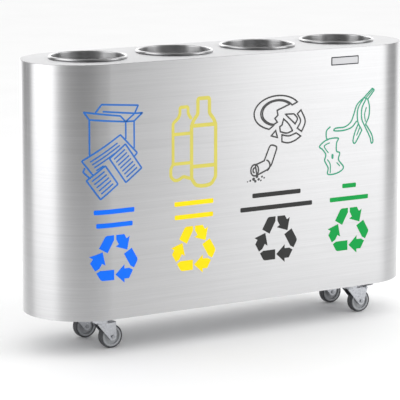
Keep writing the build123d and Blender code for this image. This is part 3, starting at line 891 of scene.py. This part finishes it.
def fastener_tree():
    """Geometry Nodes: a chamfered hexagon head with a round shank, set on every point of a mesh."""
    tree = bpy.data.node_groups.new("Hexagon fasteners", "GeometryNodeTree")
    face = tree.interface
    face.new_socket("Geometry", in_out="OUTPUT", socket_type="NodeSocketGeometry")
    face.new_socket("Points", in_out="INPUT", socket_type="NodeSocketGeometry")
    for label in ("Across", "Head", "Shank radius", "Shank length"):
        face.new_socket(label, in_out="INPUT", socket_type="NodeSocketFloat").subtype = "DISTANCE"
    face.new_socket("Turn", in_out="INPUT", socket_type="NodeSocketVector").subtype = "EULER"
    face.new_socket("Finish", in_out="INPUT", socket_type="NodeSocketMaterial")
    given = add(tree, "NodeGroupInput").outputs
    flats_to_corners = 2 * math.cos(math.radians(30))
    corner = add(tree, "ShaderNodeMath", {1: flats_to_corners}, {0: given["Across"]}, operation="DIVIDE")
    block = add(tree, "ShaderNodeMath", {1: 0.8}, {0: given["Head"]}, operation="MULTIPLY")
    chamfer = add(tree, "ShaderNodeMath", {1: 0.2}, {0: given["Head"]}, operation="MULTIPLY")
    prism = add(tree, "GeometryNodeMeshCylinder", {"Vertices": 6}, {"Radius": corner.outputs[0],
                                                                    "Depth": block.outputs[0]})
    facing = add(tree, "ShaderNodeSeparateXYZ", None, {0: add(tree, "GeometryNodeInputNormal").outputs[0]})
    outer = add(tree, "FunctionNodeCompare", {1: -0.5}, {0: facing.outputs["Z"]}, operation="LESS_THAN",
                data_type="FLOAT")
    raised = add(tree, "GeometryNodeExtrudeMesh", None,
                 {"Mesh": prism.outputs["Mesh"], "Selection": outer.outputs[0],
                  "Offset Scale": chamfer.outputs[0]}, mode="FACES")
    cut = add(tree, "GeometryNodeScaleElements", {"Scale": 0.88},
              {"Geometry": raised.outputs["Mesh"], "Selection": raised.outputs["Top"]}, domain="FACE")
    drop = add(tree, "ShaderNodeMath", {1: -0.5}, {0: block.outputs[0]}, operation="MULTIPLY")
    down = add(tree, "ShaderNodeCombineXYZ", None, {"Z": drop.outputs[0]})
    head = add(tree, "GeometryNodeTransform", None,
               {"Geometry": cut.outputs[0], "Translation": down.outputs[0]})
    bar = add(tree, "GeometryNodeMeshCylinder", {"Vertices": 24},
              {"Radius": given["Shank radius"], "Depth": given["Shank length"]})
    rise = add(tree, "ShaderNodeMath", {1: 0.5, 2: -0.2 * MM}, {0: given["Shank length"]},
               operation="MULTIPLY_ADD")
    up = add(tree, "ShaderNodeCombineXYZ", None, {"Z": rise.outputs[0]})
    shank = add(tree, "GeometryNodeTransform", None,
                {"Geometry": bar.outputs["Mesh"], "Translation": up.outputs[0]})
    both = add(tree, "GeometryNodeJoinGeometry")
    tree.links.new(head.outputs[0], both.inputs[0])
    tree.links.new(shank.outputs[0], both.inputs[0])
    placed = add(tree, "GeometryNodeInstanceOnPoints", None,
                 {"Points": given["Points"], "Instance": both.outputs[0], "Rotation": given["Turn"]})
    real = add(tree, "GeometryNodeRealizeInstances", None, {0: placed.outputs[0]})
    done = add(tree, "GeometryNodeSetMaterial", None,
               {"Geometry": real.outputs[0], "Material": given["Finish"]})
    add(tree, "NodeGroupOutput", None, {0: done.outputs[0]})
    return tree


def fastened(tree, places, **sizes):
    """The plain mesh of the fasteners at the given places."""
    blank = in_scene("fasteners", mesh_of("fastener places", places, []))
    modifier = blank.modifiers.new("Fasteners", "NODES")
    modifier.node_group = tree
    for socket in tree.interface.items_tree:
        if socket.in_out == "INPUT" and socket.name in sizes:
            modifier[socket.identifier] = sizes[socket.name]
    return baked(blank)


class STATION_OT_fasteners(bpy.types.Operator):
    """Set the bolts and nuts that hold the four casters"""
    bl_idname = "station.fasteners"
    bl_label = "Caster Bolts"

    def execute(self, context):
        casters = context.scene.station.casters
        steel = galvanised("Zinc-plated fastener", "#B8BABE", "#9C9EA2", 0.28)
        tree = fastener_tree()
        bolt_low, bolt_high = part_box("caster_bolts")
        nut_low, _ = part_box("caster_nuts")
        seat = bolt_low.z + casters.head_height
        thread = 3 * MM
        bore = 2.9 * MM
        spots = []
        for index in CASTERS:
            plate = middle("mount_plate_%d" % index)
            spots += [(plate.x + sx * casters.bolt_offset, plate.y + sy * casters.bolt_offset)
                      for sx in (-1, 1) for sy in (-1, 1)]
        sets = (
            ("caster_bolt_set", "caster_bolts", seat,
             {"Head": casters.head_height, "Shank radius": thread, "Shank length": bolt_high.z - seat}),
            ("caster_nut_set", "caster_nuts", nut_low.z,
             {"Head": casters.nut_height, "Shank radius": bore, "Shank length": 1 * MM,
              "Turn": (math.pi, 0, 0)}),
        )
        for name, node, height, sizes in sets:
            places = [(x, y, height) for x, y in spots]
            mesh = fastened(tree, places, Across=casters.head_across, Finish=steel, **sizes)
            finish_piece(name, mesh, steel, "cabinet", (node,), 20)
        return {"FINISHED"}


# ---- stage

def key_light(watts, bearing=-47, distance=4.0, height=3.0, size=3.0, aim=(0, 0, 0.4)):
    """A soft square light at a bearing in degrees, counted from the front towards the left end."""
    turn = math.radians(bearing)
    place = Vector((-math.sin(turn) * distance, -math.cos(turn) * distance, height))
    lamp = bpy.data.lights.new("right_key", "AREA")
    lamp.size = size
    lamp.energy = watts
    holder = in_scene("right_key", lamp)
    holder.location = place
    holder.rotation_mode = "QUATERNION"
    holder.rotation_quaternion = (Vector(aim) - place).to_track_quat("-Z", "Y")
    holder.visible_camera = False
    holder.visible_glossy = False


# The camera: its place in metres, how far it looks down and how far round the front it stands, in degrees
CAMERA_PLACE = (-3.719, -5.858, 1.640)
CAMERA_DOWN = 10.18
CAMERA_ROUND = 32.0
LENS_MM = 206.2
SENSOR_MM = 36.0
SKY_IN_REFLECTIONS = 0.3

# Brightness of the light tent by bearing in degrees, counted from the front towards the left end
TENT = ((-180, 2.3), (-150, 1.7), (-127, 1.5), (-104, 1.25), (-90, 0.38), (-75, 0.5), (-69.7, 0.67),
        (-66, 1.3), (-60.6, 1.9), (-44, 1.9), (-31.6, 1.8), (-27.7, 1.3), (-24.2, 0.82), (-18, 0.47),
        (11.4, 0.3), (18, 0.18), (25.6, 0.12), (41.7, 0.12), (59.3, 0.27), (73.6, 0.64), (79, 1.3), (84, 2.2),
        (118, 2.1), (126, 0.35), (148, 0.34), (157, 1.0), (168, 2.2), (180, 2.3))


def light_tent(brightness, radius=2.0, height=3.0, steps=96):
    """A round cloth tent that only reflections see: pale and dark by turns, to show the steel's form."""
    brightest = 2.5
    pale = 1.15
    hem_height = 0.4
    material = bpy.data.materials.new("Graded tent cloth")
    material.use_nodes = True
    tree = material.node_tree
    tree.nodes.remove(tree.nodes["Principled BSDF"])
    where = add(tree, "ShaderNodeSeparateXYZ", None, {0: add(tree, "ShaderNodeTexCoord").outputs["Object"]})
    front = add(tree, "ShaderNodeMath", {1: -1}, {0: where.outputs["Y"]}, operation="MULTIPLY")
    left = add(tree, "ShaderNodeMath", {1: -1}, {0: where.outputs["X"]}, operation="MULTIPLY")
    bearing = add(tree, "ShaderNodeMath", None, {0: left.outputs[0], 1: front.outputs[0]},
                  operation="ARCTAN2")
    round_once = add(tree, "ShaderNodeMapRange", {"From Min": -math.pi, "From Max": math.pi},
                     {"Value": bearing.outputs[0]})
    ramp = add(tree, "ShaderNodeValToRGB", None, {0: round_once.outputs[0]})
    stops = ramp.color_ramp.elements
    while len(stops) > 1:
        stops.remove(stops[0])
    for order, (degrees, level) in enumerate(TENT):
        stop = stops[0] if order == 0 else stops.new((degrees + 180) / 360)
        stop.position = (degrees + 180) / 360
        stop.color = (level / brightest,) * 3 + (1,)
    hem = add(tree, "ShaderNodeMapRange", {"From Min": 0, "From Max": hem_height, "To Min": 0.1, "To Max": 1},
              {"Value": where.outputs["Z"]})
    cloth = add(tree, "ShaderNodeMix", {6: (pale / brightest,) * 3 + (1,)},
                {0: hem.outputs[0], 7: ramp.outputs["Color"]}, data_type="RGBA")
    glow = add(tree, "ShaderNodeEmission", {"Strength": brightness * brightest}, {"Color": cloth.outputs[2]})
    tree.links.new(glow.outputs[0], tree.nodes["Material Output"].inputs["Surface"])
    ring = [(radius * math.cos(2 * math.pi * i / steps), radius * math.sin(2 * math.pi * i / steps))
            for i in range(steps)]
    verts = [(x, y, z) for x, y in ring for z in (0.002, height)]
    faces = [(2 * i, 2 * ((i + 1) % steps), 2 * ((i + 1) % steps) + 1, 2 * i + 1) for i in range(steps)]
    mesh = mesh_of("tent", verts, faces)
    mesh.materials.append(material)
    tent = in_scene("light_tent", mesh)
    tent.visible_camera = False
    tent.visible_diffuse = False
    tent.visible_shadow = False


class STATION_OT_stage(bpy.types.Operator):
    """Set up the pale floor, the soft lights and the camera"""
    bl_idname = "station.stage"
    bl_label = "Stage"

    def execute(self, context):
        stage = context.scene.station.stage
        reach = 60.0
        corners = [(-reach, -reach, 0), (reach, -reach, 0), (reach, reach, 0), (-reach, reach, 0)]
        mesh = mesh_of("floor", corners, [(0, 1, 2, 3)])
        mesh.materials.append(floor_paint(stage.paint))
        in_scene("floor", mesh)

        key_light(stage.key)
        light_tent(stage.tent)

        world = bpy.data.worlds.new("Studio")
        context.scene.world = world
        world.use_nodes = True
        tree = world.node_tree
        tree.nodes["Background"].inputs["Color"].default_value = (1, 1, 1, 1)
        ray = add(tree, "ShaderNodeLightPath")
        level = add(tree, "ShaderNodeMapRange", {"To Min": stage.sky, "To Max": SKY_IN_REFLECTIONS},
                    {"Value": ray.outputs["Is Glossy Ray"]})
        tree.links.new(level.outputs[0], tree.nodes["Background"].inputs["Strength"])

        lens = bpy.data.cameras.new("camera")
        lens.sensor_width = SENSOR_MM
        lens.lens = LENS_MM
        lens.clip_end = 200.0
        eye = in_scene("camera", lens)
        eye.location = CAMERA_PLACE
        eye.rotation_euler = (math.radians(90 - CAMERA_DOWN), 0, math.radians(-CAMERA_ROUND))
        context.scene.camera = eye
        context.scene.view_settings.view_transform = "Standard"
        return {"FINISHED"}


OPERATORS = (STATION_OT_walls, STATION_OT_top, STATION_OT_pails, STATION_OT_graphics, STATION_OT_plate,
             STATION_OT_wheels, STATION_OT_casters, STATION_OT_fasteners, STATION_OT_inside, STATION_OT_stage)


class STATION_PT_panel(bpy.types.Panel):
    """Lists the station's pieces and their sizes"""
    bl_idname = "STATION_PT_panel"
    bl_label = "Recycling Station"
    bl_space_type = "VIEW_3D"
    bl_region_type = "UI"
    bl_category = "Station"

    def draw(self, context):
        settings = context.scene.station
        for operator in OPERATORS:
            self.layout.operator(operator.bl_idname)
        for group in (settings.sheet, settings.graphics, settings.casters, settings.stage):
            box = self.layout.box()
            for key in group.__annotations__:
                box.prop(group, key)


CLASSES = (StationSheet, StationGraphics, StationCasters, StationStage, StationSettings) + OPERATORS + (
    STATION_PT_panel,)


def register():
    for kind in CLASSES:
        bpy.utils.register_class(kind)
    bpy.types.Scene.station = PointerProperty(type=StationSettings)


def unregister():
    del bpy.types.Scene.station
    for kind in reversed(CLASSES):
        bpy.utils.unregister_class(kind)


def main():
    register()
    bpy.ops.station.walls()
    bpy.ops.station.top()
    bpy.ops.station.pails()
    bpy.ops.station.graphics()
    bpy.ops.station.plate()
    bpy.ops.station.wheels()
    bpy.ops.station.casters()
    bpy.ops.station.fasteners()
    bpy.ops.station.inside()
    bpy.ops.station.stage()


if __name__ == "__main__":
    main()
